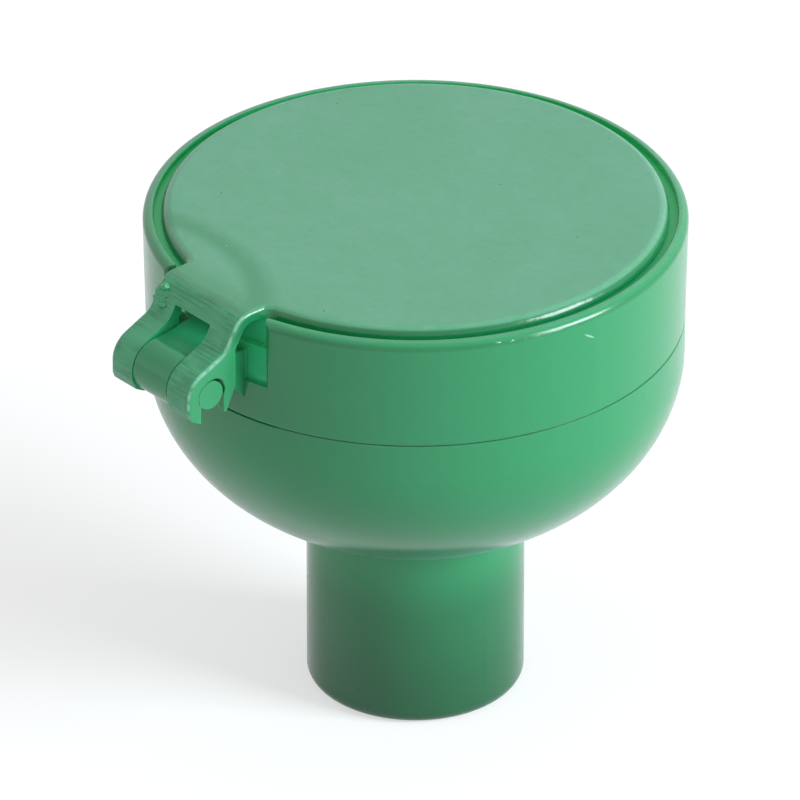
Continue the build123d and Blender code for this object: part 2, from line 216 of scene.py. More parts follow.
def tint(tree, colour, mask, share, over):
    """Lays a second colour over the first by a share of its mask."""
    return mix_colour(tree, maths(tree, "MULTIPLY", mask, share), colour, over)


def noise(tree, vector, scale, detail=2.0, roughness=0.5, distortion=0.0):
    """Noise texture's value."""
    made = add_node(
        tree, "ShaderNodeTexNoise",
        {"Vector": vector, "Scale": scale, "Detail": detail,
         "Roughness": roughness, "Distortion": distortion},
    )
    return made.outputs["Fac"]


def stretched(tree, vector, scale, location=(0, 0, 0)):
    """Coordinates scaled by axis, for patterns that run one way."""
    made = add_node(
        tree, "ShaderNodeMapping",
        {"Vector": vector, "Scale": scale, "Location": location},
    )
    return made.outputs["Vector"]


def bump(tree, height, distance, normal=None):
    """Bump node's normal."""
    inputs = {"Height": height, "Distance": distance, "Strength": 1.0}
    if normal is not None:
        inputs["Normal"] = normal
    return add_node(tree, "ShaderNodeBump", inputs).outputs["Normal"]


def object_vector(tree):
    """Object coordinates."""
    return tree.nodes.new("ShaderNodeTexCoord").outputs["Object"]


def axes_of(tree, vector):
    """X, Y and Z of a vector."""
    return add_node(tree, "ShaderNodeSeparateXYZ", {"Vector": vector}).outputs


def reach_of(tree, x, y):
    """Distance from the head's axis."""
    return maths(tree, "SQRT", maths(tree, "MULTIPLY_ADD", x, x, maths(tree, "MULTIPLY", y, y)))


# Effects shared by the finishes

DARK_SPECK = (0.012, 0.045, 0.022, 1)
PALE_SPECK = (0.35, 0.62, 0.45, 1)
DARK_SPECK_DOTS = {"Scale": 620.0, "Size": 0.10, "Share": 0.12}
PALE_SPECK_DOTS = {"Scale": 700.0, "Size": 0.09, "Share": 0.08}
PALE_SPECK_SHIFT = (0.31, 0.17, 0.23)
BLOTCH_ROUGHENS = 0.12


def make_speckle():
    """Sparse specks: a mask that is 1 in small dots scattered at random."""
    group, given, leave = new_group(
        "speckle",
        {"Vector": ("NodeSocketVector", None), "Scale": ("NodeSocketFloat", 200.0),
         "Size": ("NodeSocketFloat", 0.05), "Share": ("NodeSocketFloat", 0.2)},
        {"Mask": "NodeSocketFloat"},
    )
    cells = add_node(
        group, "ShaderNodeTexVoronoi",
        {"Vector": given["Vector"], "Scale": given["Scale"]},
    )
    lot = add_node(group, "ShaderNodeSeparateColor", {"Color": cells.outputs["Color"]})
    chosen = maths(group, "LESS_THAN", lot.outputs[0], given["Share"])
    reach = maths(group, "MULTIPLY", lot.outputs[1], given["Size"])
    dot = maths(group, "LESS_THAN", cells.outputs["Distance"], reach)
    feed(group, leave, {"Mask": maths(group, "MULTIPLY", chosen, dot)})
    return group


def make_moulded_skin(speckle):
    """Skin of a moulding: cloudy colour, orange peel, and a few dark and pale specks."""
    group, given, leave = new_group(
        "moulded_skin",
        {"Vector": ("NodeSocketVector", None),
         "Colour": ("NodeSocketColor", (0.5, 0.5, 0.5, 1)),
         "Faded": ("NodeSocketColor", (0.6, 0.6, 0.6, 1)),
         "Clouds": ("NodeSocketFloat", 0.3), "Specks": ("NodeSocketFloat", 0.5),
         "Roughness": ("NodeSocketFloat", 0.3), "Peel": ("NodeSocketFloat", 900.0)},
        {"Colour": "NodeSocketColor", "Roughness": "NodeSocketFloat",
         "Height": "NodeSocketFloat"},
    )
    vector = given["Vector"]
    broad = noise(group, vector, scale=55, detail=4, roughness=0.6, distortion=0.4)
    middling = noise(group, vector, scale=420, detail=3, roughness=0.6)
    small = noise(group, vector, scale=1300, detail=3, roughness=0.65)
    cloud = ramp(group, broad, 0.3, 0.7)
    mottle = ramp(group, middling, 0.3, 0.75)
    fine = ramp(group, small, 0.3, 0.7)
    spots = maths(group, "MULTIPLY_ADD", mottle, 0.35, maths(group, "MULTIPLY", fine, 0.25))
    blotch = maths(group, "MULTIPLY_ADD", cloud, 0.4, spots)
    faded = tint(group, given["Colour"], blotch, given["Clouds"], given["Faded"])
    dark = use_group(group, speckle, {"Vector": vector, **DARK_SPECK_DOTS})
    shifted = stretched(group, vector, (1, 1, 1), PALE_SPECK_SHIFT)
    pale = use_group(group, speckle, {"Vector": shifted, **PALE_SPECK_DOTS})
    darkened = tint(group, faded, dark["Mask"], given["Specks"], DARK_SPECK)
    speckled = tint(group, darkened, pale["Mask"], given["Specks"], PALE_SPECK)
    off_middle = maths(group, "SUBTRACT", blotch, 0.5)
    rough = maths(group, "MULTIPLY_ADD", off_middle, BLOTCH_ROUGHENS, given["Roughness"])
    peel = noise(group, vector, given["Peel"])
    feed(group, leave, {"Colour": speckled, "Roughness": rough, "Height": peel})
    return group


def make_drag_lines():
    """Drag lines that the mould left along X: a height and the shade in their grooves."""
    group, given, leave = new_group(
        "drag_lines",
        {"Vector": ("NodeSocketVector", None), "Mask": ("NodeSocketFloat", 1.0)},
        {"Height": "NodeSocketFloat", "Shade": "NodeSocketFloat"},
    )
    along = stretched(group, given["Vector"], (160, 3000, 3000))
    lines = ramp(group, noise(group, along, scale=1, detail=3, roughness=0.65), 0.4, 0.62)
    broad = stretched(group, given["Vector"], (260, 330, 330))
    patches = ramp(group, noise(group, broad, scale=1), 0.38, 0.6)
    marked = all_of(group, given["Mask"], maths(group, "MULTIPLY_ADD", patches, 0.75, 0.25))
    grooves = maths(group, "SUBTRACT", 1.0, lines)
    feed(group, leave, {
        "Height": maths(group, "MULTIPLY", lines, marked),
        "Shade": maths(group, "MULTIPLY", grooves, marked),
    })
    return group


# Green ABS of the bowl, the cap, the plate and the cover

GREEN = (0.018, 0.285, 0.106, 1)
GREEN_FADED = (0.045, 0.31, 0.135, 1)
# painted shade for the rim's rounding, the cover's edge and flanks and the drag lines' grooves
PAINTED_SHADE_GREEN = (0.006, 0.15, 0.048, 1)
# painted light: brighter green where light passes through thin walls, under the neck and in the
# window
PAINTED_LIGHT_GREEN = (0.06, 0.72, 0.32, 1)
# painted light: vivid green inside the rim, as light bounced in the gap and passed through the
# wall
GAP_PAINTED_LIGHT_GREEN = (0.012, 0.66, 0.2, 1)
# painted shade: the stem darker towards its mouth
STEM_SHADE_GREEN = (0.010, 0.18, 0.066, 1)
MOUTH_SHADE_GREEN = (0.006, 0.118, 0.043, 1)
SEAM_DARK = (0.003, 0.09, 0.035, 1)
# pale scuff of the nick, also laid on the arrises as a painted highlight
SCUFF_AND_HIGHLIGHT = (0.36, 0.62, 0.52, 1)
COVER_MATT = (0.098, 0.352, 0.19, 1)
COVER_MATT_FADED = (0.152, 0.405, 0.27, 1)
# painted shade of the sink ring and the crest on the cover's top
COVER_SINK_SHADE = (0.058, 0.275, 0.13, 1)
# lighter, more vivid green laid on the neck's upper face
NECK_FACE_GREEN = (0.115, 0.56, 0.3, 1)
TRANSLUCENT_ABS = {
    "IOR": 1.5, "Sheen Weight": 0.15, "Sheen Roughness": 0.3,
    "Sheen Tint": (0.75, 0.75, 1.0, 1), "Subsurface Weight": 0.35,
    "Subsurface Scale": 2 * MM, "Subsurface Radius": (0.2, 1.0, 0.4),
}
NICK_PLACE = (51.6 * MM, 63.4 * MM, 0)      # round the wall from the hinge, and up it
NICK_SIZE = (1.1 * MM, 0.16 * MM, 1)
NICK_TILT = radians(-33)
SINK_MIDDLE = (-10 * MM, -36 * MM)          # of the faint oval ring on the cover's top
SINK_HALF = (17.5 * MM, 11.3 * MM)


def satin_skin(tree, skin, vector):
    """The moulded skin with the values of the satin green ABS."""
    return use_group(tree, skin, {
        "Vector": vector, "Colour": GREEN, "Faded": GREEN_FADED,
        "Clouds": 0.2, "Specks": 0.04, "Roughness": 0.22, "Peel": 500.0,
    })


def inside_rim(tree, reach, z):
    """Mask of the cap's inside: the wall round the cover's edge, and the cup below it, painted a
    vivid green as light bounced in the gap and passed through the wall.
    """
    return all_of(
        tree,
        past(tree, reach, RIM_INNER + 0.15 * MM, -0.2 * MM),
        past(tree, z, RIM_HEIGHT - 0.05 * MM, -0.3 * MM),
        past(tree, z, PARTING_HEIGHT, 8 * MM),
    )


def painted_light_under_neck(tree, reach, across, y, z):
    """Mask of the rim's notch and of the recess below it, both brightened with painted light, as
    if lit through the wall.
    """
    in_notch = all_of(
        tree,
        past(tree, z, NOTCH_FLOOR - 0.9 * MM, 0.8 * MM),
        past(tree, y, NOTCH_BACK + 2.2 * MM, -1.6 * MM),
        past(tree, across, NECK_HALF_WIDTH + 0.6 * MM, -0.6 * MM),
    )
    in_recess = all_of(
        tree,
        past(tree, reach, RECESS_RADIUS + 0.5 * MM, -0.3 * MM),
        past(tree, z, RECESS_FLOOR - 0.3 * MM, 0.5 * MM),
        past(tree, z, RIM_HEIGHT - 0.6 * MM, -0.6 * MM),
        past(tree, y, NOTCH_BACK + 2.2 * MM, -1.0 * MM),
        past(tree, across, RECESS_HALF_WIDTH, -0.5 * MM),
    )
    return maths(tree, "MAXIMUM", in_notch, maths(tree, "MULTIPLY", in_recess, 0.9))


def sheen_on_rim_land(tree, vector, z):
    """Mask of the rim's flat top, laid unevenly with a painted sheen."""
    sheen_patches = noise(tree, vector, scale=300, detail=3, roughness=0.6)
    uneven = ramp(tree, sheen_patches, 0.2, 0.6, 0.5, 1.0)
    return all_of(tree, past(tree, z, RIM_HEIGHT - 0.3 * MM, 0.25 * MM), uneven)


def on_rim_round(tree, reach, z):
    """Mask of the rounding outside the rim's top, darkened with painted shade, a dark reflection
    painted in.
    """
    return all_of(
        tree,
        past(tree, z, RIM_HEIGHT - 1.25 * MM, 0.4 * MM),
        past(tree, z, RIM_HEIGHT - 0.3 * MM, -0.3 * MM),
        past(tree, reach, RIM_INNER + 0.4 * MM, 0.4 * MM),
    )


def on_parting_line(tree, reach, z):
    """Mask of the fine line where the cap meets the bowl."""
    off_line = maths(tree, "ABSOLUTE", maths(tree, "SUBTRACT", z, PARTING_HEIGHT))
    return all_of(
        tree,
        past(tree, off_line, 0.12 * MM, -0.09 * MM),
        past(tree, reach, BOWL_RADIUS - 0.6 * MM, 0.3 * MM),
    )


def on_nick(tree, x, y, z):
    """Mask of a small slanting nick in the cap's wall."""
    front = maths(tree, "MULTIPLY", y, -1.0)
    along = maths(tree, "MULTIPLY", maths(tree, "ARCTAN2", x, front), BOWL_RADIUS)
    on_wall = add_node(tree, "ShaderNodeCombineXYZ", {0: along, 1: z})
    placed = add_node(
        tree, "ShaderNodeMapping",
        {"Vector": on_wall.outputs[0], "Location": NICK_PLACE,
         "Rotation": (0, 0, NICK_TILT), "Scale": NICK_SIZE},
        vector_type="TEXTURE",
    )
    off_middle = add_node(
        tree, "ShaderNodeVectorMath", {0: placed.outputs[0]}, operation="LENGTH"
    )
    return past(tree, off_middle.outputs["Value"], 1.0, -0.5)


def housing_green(skin):
    """Satin ABS of the bowl, cap and plate: painted shade deepens the stem and the rim's
    rounding, painted light brightens the inside of the rim and the notch, and a painted sheen
    lies on the rim's top.
    """
    material, tree, shader = new_material("housing_green", TRANSLUCENT_ABS)
    vector = object_vector(tree)
    x, y, z = axes_of(tree, vector)
    across = maths(tree, "ABSOLUTE", x)
    reach = reach_of(tree, x, y)
    moulded = satin_skin(tree, skin, vector)
    in_rim = inside_rim(tree, reach, z)
    # painted shade: the stem darker towards its mouth
    on_stem = past(tree, z, STEM_TOP, -0.4 * STEM_TOP)
    at_mouth = past(tree, z, 0.7 * STEM_TOP, -0.7 * STEM_TOP)
    colour = moulded["Colour"]
    for mask, share, over in (
        (in_rim, 0.85, GAP_PAINTED_LIGHT_GREEN),
        (painted_light_under_neck(tree, reach, across, y, z), 0.9, PAINTED_LIGHT_GREEN),
        (on_stem, 1.0, STEM_SHADE_GREEN),
        (at_mouth, 1.0, MOUTH_SHADE_GREEN),
        (sheen_on_rim_land(tree, vector, z), 0.6, COVER_MATT),
        (on_rim_round(tree, reach, z), 0.5, PAINTED_SHADE_GREEN),
        (on_parting_line(tree, reach, z), 0.85, SEAM_DARK),
        (on_nick(tree, x, y, z), 0.75, SCUFF_AND_HIGHLIGHT),
    ):
        colour = tint(tree, colour, mask, share, over)
    feed(tree, shader, {
        "Base Color": colour,
        "Roughness": maths(tree, "MULTIPLY_ADD", in_rim, 0.2, moulded["Roughness"]),
        "Normal": bump(tree, moulded["Height"], 0.003 * MM),
    })
    return material


def in_sink_ring(tree, vector, x, y):
    """Mask of the faint ring and crest on the cover's top, near the neck, darkened as painted
    shade of a shallow sink and of the crest.
    """
    sink_x, sink_y = (
        maths(tree, "DIVIDE", maths(tree, "SUBTRACT", place, middle), half)
        for place, middle, half in zip((x, y), SINK_MIDDLE, SINK_HALF)
    )
    from_middle = reach_of(tree, sink_x, sink_y)
    waver = noise(tree, vector, scale=120, detail=3, roughness=0.6)
    on_ring = all_of(
        tree,
        past(tree, from_middle, 0.8, 0.2), past(tree, from_middle, 1.26, -0.24),
        ramp(tree, waver, 0.2, 0.5, 0.0, 0.75),
    )
    on_crest = ramp(tree, y, -29 * MM, -32.5 * MM, 0.0, 0.55)
    return maths(tree, "MAXIMUM", on_ring, on_crest)


def matt_top(tree, skin, vector, x, y):
    """The moulded skin with the values of the cover's grained top."""
    sunk = in_sink_ring(tree, vector, x, y)
    return use_group(tree, skin, {
        "Vector": vector, "Colour": mix_colour(tree, sunk, COVER_MATT, COVER_SINK_SHADE),
        "Faded": mix_colour(tree, sunk, COVER_MATT_FADED, COVER_SINK_SHADE),
        "Clouds": 0.95, "Specks": 0.8, "Roughness": 0.55, "Peel": 900.0,
    })


def painted_shade_below_edge(tree, x, y, z, side_on):
    """Mask of the cover's edge round its disc, and of the neck's flanks near it, darkened as
    painted shade.
    """
    on_edge = all_of(
        tree,
        past(tree, reach_of(tree, x, y), COVER_RADIUS - 0.75 * MM, 0.35 * MM),
        past(tree, z, COVER_TOP - 0.2 * MM, -0.35 * MM),
        past(tree, y, NECK_START - 0.2 * MM, 1.7 * MM),
    )
    on_flank = all_of(
        tree,
        past(tree, y, NECK_START + 1.5 * MM, -1.5 * MM),
        past(tree, side_on, 0.6, 0.35),
        past(tree, z, HINGE_HEIGHT + 5 * MM, 1.5 * MM),
    )
    return maths(tree, "MAXIMUM", maths(tree, "MULTIPLY", on_edge, 0.8),
                 maths(tree, "MULTIPLY", on_flank, 0.6))


def painted_light_in_window(tree, across, y, side_on):
    """Mask of the arms' inner faces, brightened with painted light."""
    return all_of(
        tree,
        past(tree, y, NECK_START - 0.3 * MM, -0.5 * MM),
        past(tree, across, WINDOW_HALF_WIDTH + 0.4 * MM, -0.3 * MM),
        past(tree, side_on, 0.6, 0.3),
    )


def on_neck_face(tree, across, y, side_on):
    """Mask of the upper face of the neck and arms."""
    return all_of(
        tree,
        past(tree, y, NECK_START - 0.5 * MM, -2.0 * MM),
        past(tree, across, NECK_HALF_WIDTH - 0.05 * MM, -0.55 * MM),
        past(tree, side_on, 0.7, -0.3),
    )


def on_arris(tree, vector, across, y, side_on):
    """Mask of the outer edges of the neck and arms, lightened as a painted highlight broken up
    by noise.
    """
    highlight_breaks = noise(tree, vector, scale=700, detail=3, roughness=0.7)
    return all_of(
        tree,
        past(tree, y, NECK_START - 0.5 * MM, -2.0 * MM),
        past(tree, across, NECK_HALF_WIDTH - 0.7 * MM, 0.3 * MM),
        past(tree, side_on, 0.25, 0.25), past(tree, side_on, 0.97, -0.17),
        ramp(tree, highlight_breaks, 0.3, 0.6),
    )


def cover_green(skin, drag_lines):
    """ABS of the dust cover: matt grain on its top, satin elsewhere, drag lines on the neck,
    painted shade at its edge and flanks, painted light in the window and a painted highlight on
    the arrises.
    """
    material, tree, shader = new_material("cover_green", TRANSLUCENT_ABS)
    vector = object_vector(tree)
    x, y, z = axes_of(tree, vector)
    across = maths(tree, "ABSOLUTE", x)
    normal = tree.nodes.new("ShaderNodeTexCoord").outputs["Normal"]
    side_on = maths(tree, "ABSOLUTE", axes_of(tree, normal)[0])
    matt = matt_top(tree, skin, vector, x, y)
    satin = satin_skin(tree, skin, vector)
    on_neck = on_neck_face(tree, across, y, side_on)
    lines = use_group(tree, drag_lines, {"Vector": vector, "Mask": on_neck})
    colour = satin["Colour"]
    for mask, share, over in (
        (painted_shade_below_edge(tree, x, y, z, side_on), 1.0, PAINTED_SHADE_GREEN),
        (painted_light_in_window(tree, across, y, side_on), 0.6, PAINTED_LIGHT_GREEN),
        (on_neck, 0.45, NECK_FACE_GREEN),
        (lines["Shade"], 0.45, PAINTED_SHADE_GREEN),
        (on_arris(tree, vector, across, y, side_on), 0.6, SCUFF_AND_HIGHLIGHT),
        (past(tree, z, COVER_TOP - 0.5 * MM, 0.35 * MM), 1.0, matt["Colour"]),
    ):
        colour = tint(tree, colour, mask, share, over)
    satin_rough = maths(tree, "MULTIPLY_ADD", on_neck, 0.15, satin["Roughness"])
    grained = past(tree, z, COVER_TOP - 0.15 * MM, 0.13 * MM)
    grain = bump(tree, matt["Height"], 0.035 * MM)
    feed(tree, shader, {
        "Base Color": colour,
        "Roughness": mix_value(tree, grained, satin_rough, matt["Roughness"]),
        "Normal": bump(tree, lines["Height"], 0.07 * MM, grain),
    })
    return material


# Finishes of the small pieces

TORN_GREEN = (0.045, 0.38, 0.16, 1)
NATURAL_ACETAL = (0.72, 0.71, 0.65, 1)
BLACK_RUBBER = (0.02, 0.02, 0.02, 1)
CHARCOAL_FOAM = (0.04, 0.042, 0.045, 1)
STAINLESS = (0.55, 0.55, 0.54, 1)


def plain(name, colour, roughness, skin, clouds=0.3, peel=900.0, depth=0.01 * MM, metallic=0.0):
    """One even finish for a whole piece, with bumps of this depth."""
    material, tree, shader = new_material(name, {"IOR": 1.5, "Metallic": metallic})
    faded = tuple(min(1.0, 1.15 * part + 0.01) for part in colour[:3]) + (1,)
    moulded = use_group(tree, skin, {
        "Vector": object_vector(tree), "Colour": colour, "Faded": faded,
        "Clouds": clouds, "Specks": 0.0, "Roughness": roughness, "Peel": peel,
    })
    feed(tree, shader, {
        "Base Color": moulded["Colour"], "Roughness": moulded["Roughness"],
        "Normal": bump(tree, moulded["Height"], depth),
    })
    return material


def dress(node, material):
    """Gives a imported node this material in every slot."""
    piece = nodes[node]
    if not piece.material_slots:
        piece.data.materials.append(material)
    for place in piece.material_slots:
        place.material = material


# Modelling helpers


def deselect_all():
    """Nothing selected, so that the next operator acts on its own piece alone."""
    bpy.ops.object.select_all(action="DESELECT")


def apply_place():
    """Puts the active piece's place, turn and size into its mesh."""
    bpy.ops.object.transform_apply(location=True, rotation=True, scale=True)


def name_piece(name, body, material):
    """Names the piece just made, lets it ride on its body, and gives it its finish."""
    piece = bpy.context.object
    piece.name = piece.data.name = name
    apply_place()
    piece.data.materials.clear()
    piece.data.materials.append(material)
    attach(piece, body)
    return piece


def edit_select(piece, chosen):
    """In edit mode, selects the vertices whose place passes the test chosen."""
    bpy.ops.mesh.select_mode(type="VERT")
    bpy.ops.mesh.select_all(action="DESELECT")
    bpy.ops.object.mode_set(mode="OBJECT")
    for vertex in piece.data.vertices:
        vertex.select = chosen(vertex.co)
    bpy.ops.object.mode_set(mode="EDIT")


def join_pieces(pieces):
    """Joins pieces into the last of them."""
    for piece in pieces:
        piece.select_set(True)
    bpy.context.view_layer.objects.active = pieces[-1]
    bpy.ops.object.join()
    return bpy.context.object


def apply_modifier(piece, kind, **settings):
    """Adds a modifier with these settings and applies it."""
    modifier = piece.modifiers.new(kind.lower(), kind)
    for name, value in settings.items():
        setattr(modifier, name, value)
    bpy.ops.object.modifier_apply(modifier=modifier.name)


def face_outwards():
    """In edit mode, turns all faces outwards."""
    bpy.ops.mesh.select_all(action="SELECT")
    bpy.ops.mesh.normals_make_consistent(inside=False)


# Fine pieces


def make_hinge_web(material):
    """Rounded web of the moulding, from the barrel's top up to the notch in the cap's rim."""
    rows = 14
    thickness = 0.7 * MM
    front, back = HINGE_Y, -33.0 * MM
    bottom = HINGE_HEIGHT + BARREL_RADIUS - 0.03 * MM
    top = NOTCH_FLOOR - 0.02 * MM
    bpy.ops.mesh.primitive_grid_add(
        x_subdivisions=8, y_subdivisions=rows, size=1,
        location=(0, (front + back) / 2, bottom),
    )
    web = bpy.context.object
    web.scale = (2 * WINDOW_HALF_WIDTH, back - front, 1)
    apply_place()
    bpy.ops.object.mode_set(mode="EDIT")
    for row in range(1, rows + 1):
        share = row / rows
        at = front + (back - front) * share
        edit_select(web, lambda place: abs(place.y - at) < 0.05 * MM)
        rise = (top - bottom) * share * share * (3 - 2 * share)
        bpy.ops.transform.translate(value=(0, 0, rise))
    bpy.ops.mesh.select_all(action="SELECT")
    bpy.ops.mesh.extrude_region_move(TRANSFORM_OT_translate={"value": (0, 0, -thickness)})
    face_outwards()
    bpy.ops.object.mode_set(mode="OBJECT")
    bpy.ops.object.shade_smooth_by_angle(angle=radians(40))
    name_piece("hinge_web", "root", material)
    deselect_all()


GATE_PLACE = Vector((-6.0, -35.75, 65.15)) * MM
NECK_DOWN = Vector((0, -2.5, -4.3)).normalized()      # down the neck's slope
NECK_OUT = Vector((0, -4.3, 2.5)).normalized()        # square to it
GATE_LUMPS_MM = (                                     # (right, up), (wide, tall), height
    ((-0.3, -0.2), (1.15, 1.8), 0.3),
    ((0.1, 0.9), (0.7, 0.6), 0.75),
    ((0.7, -1.2), (0.6, 0.5), 0.65),
    ((-0.65, 0.1), (0.55, 0.9), 0.55),
    ((0.6, 0.1), (0.4, 0.55), 0.35),
    ((0.0, -0.9), (0.45, 0.45), 0.45),
)


def make_gate_lump(turn, place, size, seed):
    """One uneven lump of the torn gate, lying on the neck's slope."""
    bpy.ops.mesh.primitive_uv_sphere_add(segments=20, ring_count=12, radius=1, location=place)
    lump = bpy.context.object
    lump.rotation_euler = turn.to_euler()
    lump.scale = size
    apply_place()
    bpy.ops.object.mode_set(mode="EDIT")
    bpy.ops.mesh.select_all(action="SELECT")
    bpy.ops.transform.vertex_random(offset=0.05 * MM, seed=seed)
    bpy.ops.mesh.vertices_smooth(factor=0.4)
    bpy.ops.object.mode_set(mode="OBJECT")
    return lump


def make_gate_mark(material):
    """Torn-off gate on the neck's corner: a low rough patch with small lumps."""
    turn = Matrix((Vector((1, 0, 0)), -NECK_DOWN, NECK_OUT)).transposed()
    sunk = 0.05 * MM
    lumps = []
    for number, ((right, up), (wide, tall), height) in enumerate(GATE_LUMPS_MM):
        place = GATE_PLACE + turn @ Vector((right * MM, up * MM, -sunk))
        size = (wide * MM, tall * MM, height * MM)
        lumps.append(make_gate_lump(turn, place, size, seed=number + 3))
    mark = join_pieces(lumps)
    apply_modifier(mark, "REMESH", mode="VOXEL", voxel_size=0.09 * MM)
    torn_face = bpy.data.textures.new("torn_face", "CLOUDS")
    torn_face.noise_scale = 0.45 * MM
    apply_modifier(
        mark, "DISPLACE", texture=torn_face, texture_coords="LOCAL",
        strength=0.4 * MM, mid_level=0.5,
    )
    bpy.ops.object.shade_smooth()
    name_piece("gate_mark", "lid", material)
    deselect_all()


def make_inlet_thread(material):
    """Ridge of the inlet's pipe thread, wound up the bore, with ends that run out."""
    turns, steps, corners = 7, 64, 4
    run_out = 20                  # rings over which an end sinks into the wall
    depth, half_width = 0.55 * MM, 0.8 * MM
    start = (BORE_RADIUS + 0.08 * MM, 0, 1.6 * MM)
    bpy.ops.mesh.primitive_circle_add(
        vertices=corners, radius=1, location=start, rotation=(pi / 2, 0, 0)
    )
    ridge = bpy.context.object
    ridge.scale = (depth, half_width, 1)
    apply_place()
    apply_modifier(
        ridge, "SCREW", axis="Z", angle=2 * pi, iterations=turns, steps=steps,
        render_steps=steps, screw_offset=THREAD_PITCH, use_merge_vertices=False,
    )
    rings = len(ridge.data.vertices) // corners
    bpy.ops.object.mode_set(mode="EDIT")
    bpy.ops.mesh.select_mode(type="VERT")
    for ring in list(range(run_out)) + list(range(rings - run_out, rings)):
        bpy.ops.mesh.select_all(action="DESELECT")
        bpy.ops.object.mode_set(mode="OBJECT")
        chosen = ridge.data.vertices[ring * corners:(ring + 1) * corners]
        middle = sum((vertex.co for vertex in chosen), Vector()) / corners
        for vertex in chosen:
            vertex.select = True
        bpy.ops.object.mode_set(mode="EDIT")
        share = 1 - min(ring, rings - 1 - ring) / run_out
        away = Vector((middle.x, middle.y, 0)).normalized() * depth * 0.95 * share
        bpy.ops.transform.translate(value=away)
        if ring in (0, rings - 1):
            bpy.ops.mesh.edge_face_add()
    face_outwards()
    bpy.ops.object.mode_set(mode="OBJECT")
    bpy.ops.object.shade_smooth_by_angle(angle=radians(30))
    name_piece("inlet_thread", "root", material)
    deselect_all()


def make_foam_cells(material):
    """Open-cell foam disc, its cells sunk into a fine even skin."""
    low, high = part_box("foam_filter")
    bpy.ops.mesh.primitive_cylinder_add(
        vertices=96, radius=high.x, depth=high.z - low.z, location=(0, 0, (low.z + high.z) / 2)
    )
    disc = bpy.context.object
    apply_place()
    apply_modifier(disc, "REMESH", mode="VOXEL", voxel_size=0.42 * MM)
    cells = bpy.data.textures.new("foam_cells", "VORONOI")
    cells.noise_scale = 1.5 * MM
    apply_modifier(
        disc, "DISPLACE", texture=cells, texture_coords="LOCAL",
        strength=-0.9 * MM, mid_level=0.0,
    )
    bpy.ops.object.shade_smooth()
    piece = name_piece("foam_cells", "root", material)
    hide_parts("foam_filter")
    deselect_all()


WIRE_RADIUS = 0.11 * MM
WIRE_WAVE = 0.1 * MM              # half of a wire's rise and fall
WIRE_PITCH = 0.9 * MM
SCREEN_EDGE_RADIUS = 0.25 * MM


def make_wire_layer(crossings, middle, first_up):
    """Wires that run one way, waving over and under, each out of step with its neighbours."""
    start = -crossings * WIRE_PITCH
    bpy.ops.mesh.primitive_circle_add(
        vertices=5, radius=WIRE_RADIUS, location=(start, start, middle - first_up * WIRE_WAVE),
        rotation=(0, pi / 2, 0),
    )
    wires = bpy.context.object
    apply_place()
    bpy.ops.object.mode_set(mode="EDIT")
    bpy.ops.mesh.select_all(action="SELECT")
    up = first_up
    for crossing in range(2 * crossings):
        bpy.ops.mesh.extrude_region_move(
            TRANSFORM_OT_translate={"value": (WIRE_PITCH, 0, 2 * WIRE_WAVE * up)}
        )
        up = -up
    bpy.ops.object.mode_set(mode="OBJECT")
    for count, offset in (
        (2, (WIRE_PITCH, WIRE_PITCH, 0)),
        (crossings, (0, 2 * WIRE_PITCH, 0)),
    ):
        apply_modifier(wires, "ARRAY", count=count, use_relative_offset=False,
                       use_constant_offset=True, constant_offset_displace=offset)
    return wires


def make_woven_screen(material):
    """Plain-woven stainless screen, cut to a disc and closed by its edge ring."""
    low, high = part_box("filter_screen")
    middle = (low.z + high.z) / 2
    reach = high.x - 0.5 * MM
    crossings = 2 * int(reach / WIRE_PITCH / 2) + 2
    warp = make_wire_layer(crossings, middle, first_up=1)
    weft = make_wire_layer(crossings, middle, first_up=-1)
    weft.rotation_euler = (0, 0, pi / 2)
    bpy.ops.object.transform_apply(location=False, rotation=True, scale=False)
    screen = join_pieces([warp, weft])
    bpy.ops.object.mode_set(mode="EDIT")
    edit_select(screen, lambda place: place.x * place.x + place.y * place.y > reach * reach)
    bpy.ops.mesh.delete(type="VERT")
    bpy.ops.mesh.select_all(action="SELECT")
    bpy.ops.mesh.fill_holes(sides=6)
    face_outwards()
    bpy.ops.object.mode_set(mode="OBJECT")
    bpy.ops.mesh.primitive_torus_add(
        major_segments=96, minor_segments=8, major_radius=reach - 0.2 * MM,
        minor_radius=SCREEN_EDGE_RADIUS, location=(0, 0, middle),
    )
    edge = bpy.context.object
    edge.scale = (1, 1, 0.95)
    apply_place()
    join_pieces([edge, screen])
    bpy.ops.object.shade_smooth()
    piece = name_piece("woven_screen", "root", material)
    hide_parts("filter_screen")
    deselect_all()


# Stage

WHITE = (1, 1, 1, 1)
FULL_STRENGTH = 1.0
WORLD_FILL = 0.54
FLOOR_SIZE = 8.0
FLOOR_TONE = (0.5, 0.5, 0.5, 1)
FLOOR_GLOW = 0.56
KEY_COLOUR = (0.86, 0.92, 1.0)


def seen_directly(tree):
    """1 for rays that show the background: from the camera, a reflection or glass."""
    path = tree.nodes.new("ShaderNodeLightPath").outputs
    shown = maths(tree, "MAXIMUM", path["Is Camera Ray"], path["Is Glossy Ray"])
    return maths(tree, "MAXIMUM", shown, path["Is Transmission Ray"])


def set_world():
    """White where it shows, and a soft even fill on the head."""
    world = bpy.data.worlds.new("studio")
    world.use_nodes = True
    bpy.context.scene.world = world
    tree = world.node_tree
    strength = maths(
        tree, "MULTIPLY_ADD", seen_directly(tree), FULL_STRENGTH - WORLD_FILL, WORLD_FILL
    )
    feed(tree, tree.nodes["Background"], {"Color": WHITE, "Strength": strength})


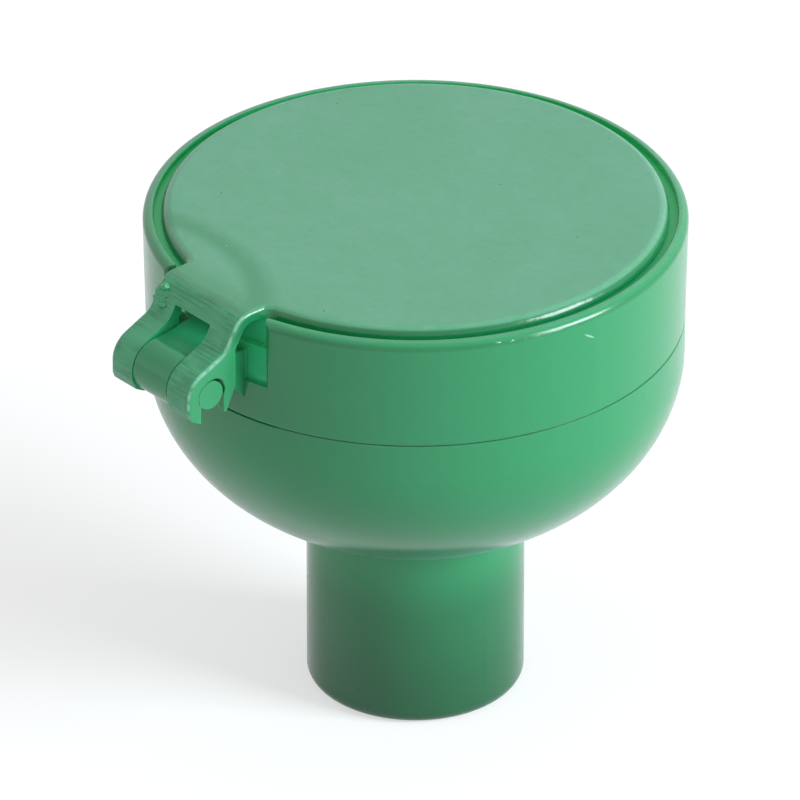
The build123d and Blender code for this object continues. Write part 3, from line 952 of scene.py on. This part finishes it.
def set_floor():
    """Pale floor that keeps the head's shadow and can't be seen from below."""
    bpy.ops.mesh.primitive_plane_add(size=FLOOR_SIZE)
    floor = bpy.context.object
    floor.name = "floor"
    material, tree, shader = new_material("floor_paper", {
        "Base Color": FLOOR_TONE, "Roughness": 0.9, "Specular IOR Level": 0.0,
    })
    paper = shader.outputs[0]
    glow = add_node(tree, "ShaderNodeEmission", {"Color": WHITE, "Strength": FLOOR_GLOW})
    glowing = add_node(tree, "ShaderNodeAddShader", {0: paper, 1: glow.outputs[0]})
    shown = add_node(
        tree, "ShaderNodeMixShader", {0: seen_directly(tree), 1: paper, 2: glowing.outputs[0]}
    )
    below = tree.nodes.new("ShaderNodeNewGeometry").outputs["Backfacing"]
    clear = tree.nodes.new("ShaderNodeBsdfTransparent").outputs[0]
    surface = add_node(tree, "ShaderNodeMixShader", {0: below, 1: shown.outputs[0], 2: clear})
    feed(tree, tree.nodes["Material Output"], {"Surface": surface.outputs[0]})
    floor.data.materials.append(material)


def softbox(name, azimuth, elevation, distance, side, radiance, colour=WHITE[:3]):
    """Square lamp aimed at the head, as bright as its radiance says."""
    lamp_data = bpy.data.lights.new(name, "AREA")
    lamp_data.shape = "SQUARE"
    lamp_data.size = side
    lamp_data.energy = radiance * pi * side * side
    lamp_data.color = colour
    lamp = bpy.data.objects.new(name, lamp_data)
    bpy.context.scene.collection.objects.link(lamp)
    back = towards(azimuth, elevation)
    centre = Vector((0, 0, PARTING_HEIGHT))
    lamp.matrix_world = Matrix.Translation(centre + back * distance) @ facing(back).to_4x4()


def set_lights():
    """A large cool key at the right and a weak fill at the left."""
    softbox("key", VIEW_AZIMUTH + radians(68), radians(23),
            distance=1.0, side=0.45, radiance=20.5, colour=KEY_COLOUR)
    softbox("left_fill", VIEW_AZIMUTH - radians(75), radians(20),
            distance=1.2, side=0.6, radiance=0.8)


set_camera()
set_world()
set_floor()
set_lights()

skin = make_moulded_skin(make_speckle())
housing = housing_green(skin)
cover = cover_green(skin, make_drag_lines())
torn = plain("torn_gate", TORN_GREEN, 0.2, skin, peel=2200.0, depth=0.05 * MM)
acetal = plain("natural_acetal", NATURAL_ACETAL, 0.45, skin)
rubber = plain("black_rubber", BLACK_RUBBER, 0.55, skin, depth=0.02 * MM)
foam = plain("filter_foam", CHARCOAL_FOAM, 0.95, skin, clouds=0.8, depth=0.1 * MM)
steel = plain("stainless_mesh", STAINLESS, 0.35, skin, metallic=1.0)

finishes = {
    "bowl_body": housing,
    "spray_cap": housing,
    "spray_plate": housing,
    "dust_cover": cover,
    "filter_support": acetal,
    "flow_control_body": acetal,
    "flow_control_cap": acetal,
    "flow_control_ring": rubber,
    "flow_control_o_ring": rubber,
    "housing_o_ring": rubber,
    "foam_filter": foam,
    "filter_screen": steel,
}
for node, finish in finishes.items():
    dress(node, finish)

make_hinge_web(housing)
make_gate_mark(torn)
make_inlet_thread(housing)
make_foam_cells(foam)
make_woven_screen(steel)

bpy.context.scene.view_settings.view_transform = "Standard"
